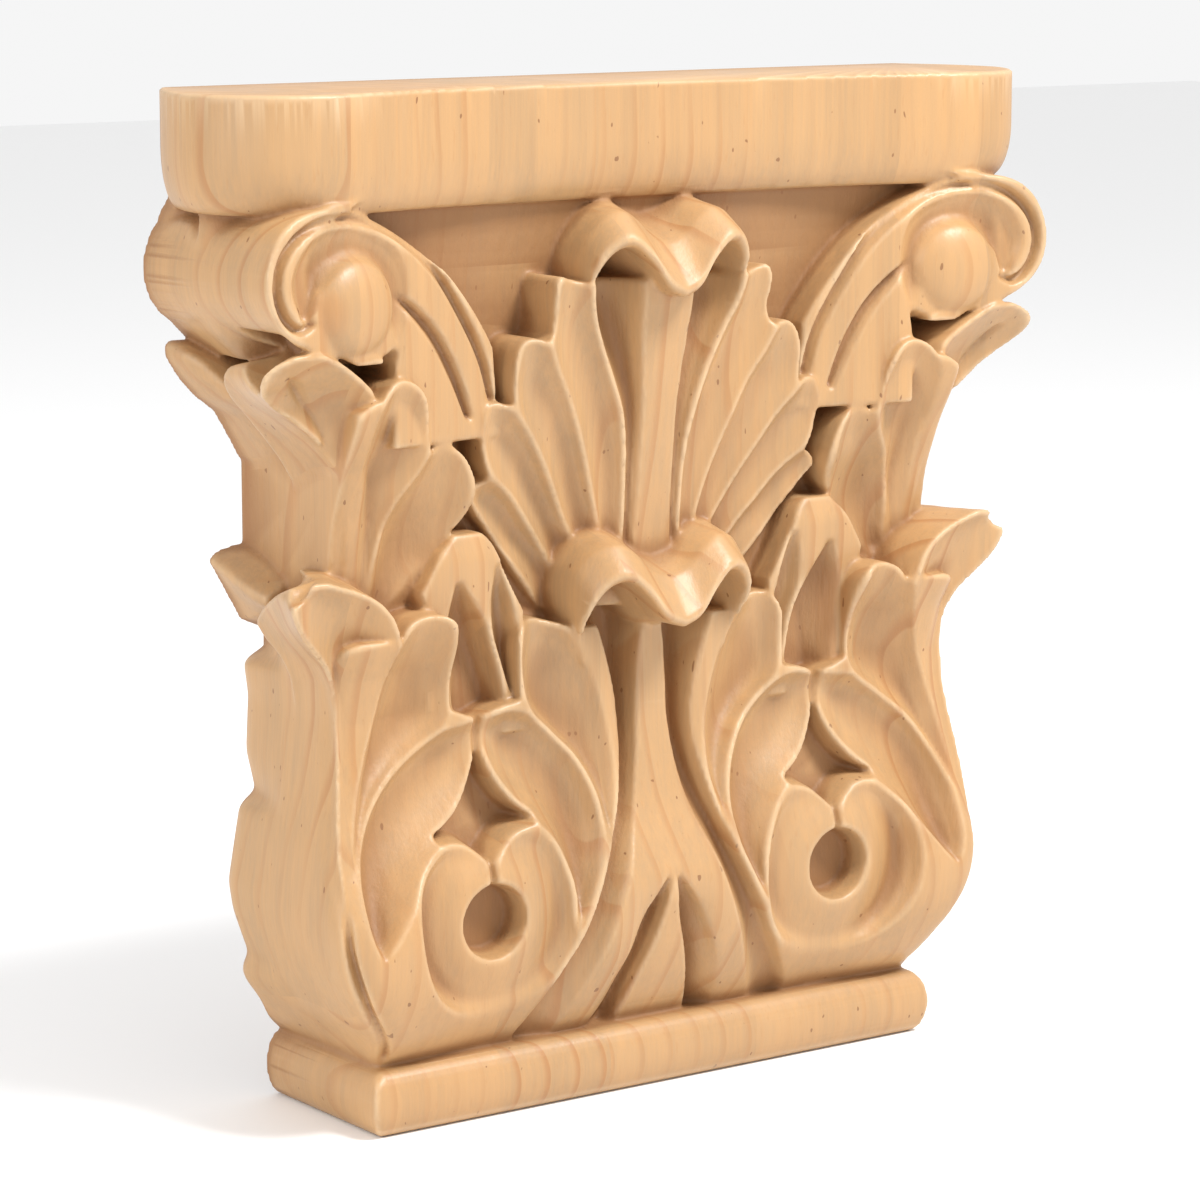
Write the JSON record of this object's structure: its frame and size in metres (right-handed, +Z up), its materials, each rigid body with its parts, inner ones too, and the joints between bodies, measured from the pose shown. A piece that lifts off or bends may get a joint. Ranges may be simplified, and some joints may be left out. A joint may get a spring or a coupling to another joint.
{
  "type": "pilaster capital",
  "caption": "Carved wooden Corinthian capital with a flat back: shaped abacus, corner volutes, fan leaf and scrolled acanthus on a half-round foot bar.",
  "frame": {"origin": "middle of the flat underside of the foot bar, halfway between its sides, on the plane it stands on", "axes": "+Z up, +Y towards the flat back, -Y towards the carved front, +X to the side"},
  "size_m": [0.261, 0.064, 0.267],
  "materials": {
    "carved_wood": "sanded maple under a thin satin finish"
  },
  "bodies": {
    "root": {"capital": "carved_wood"}
  },
  "joints": []
}
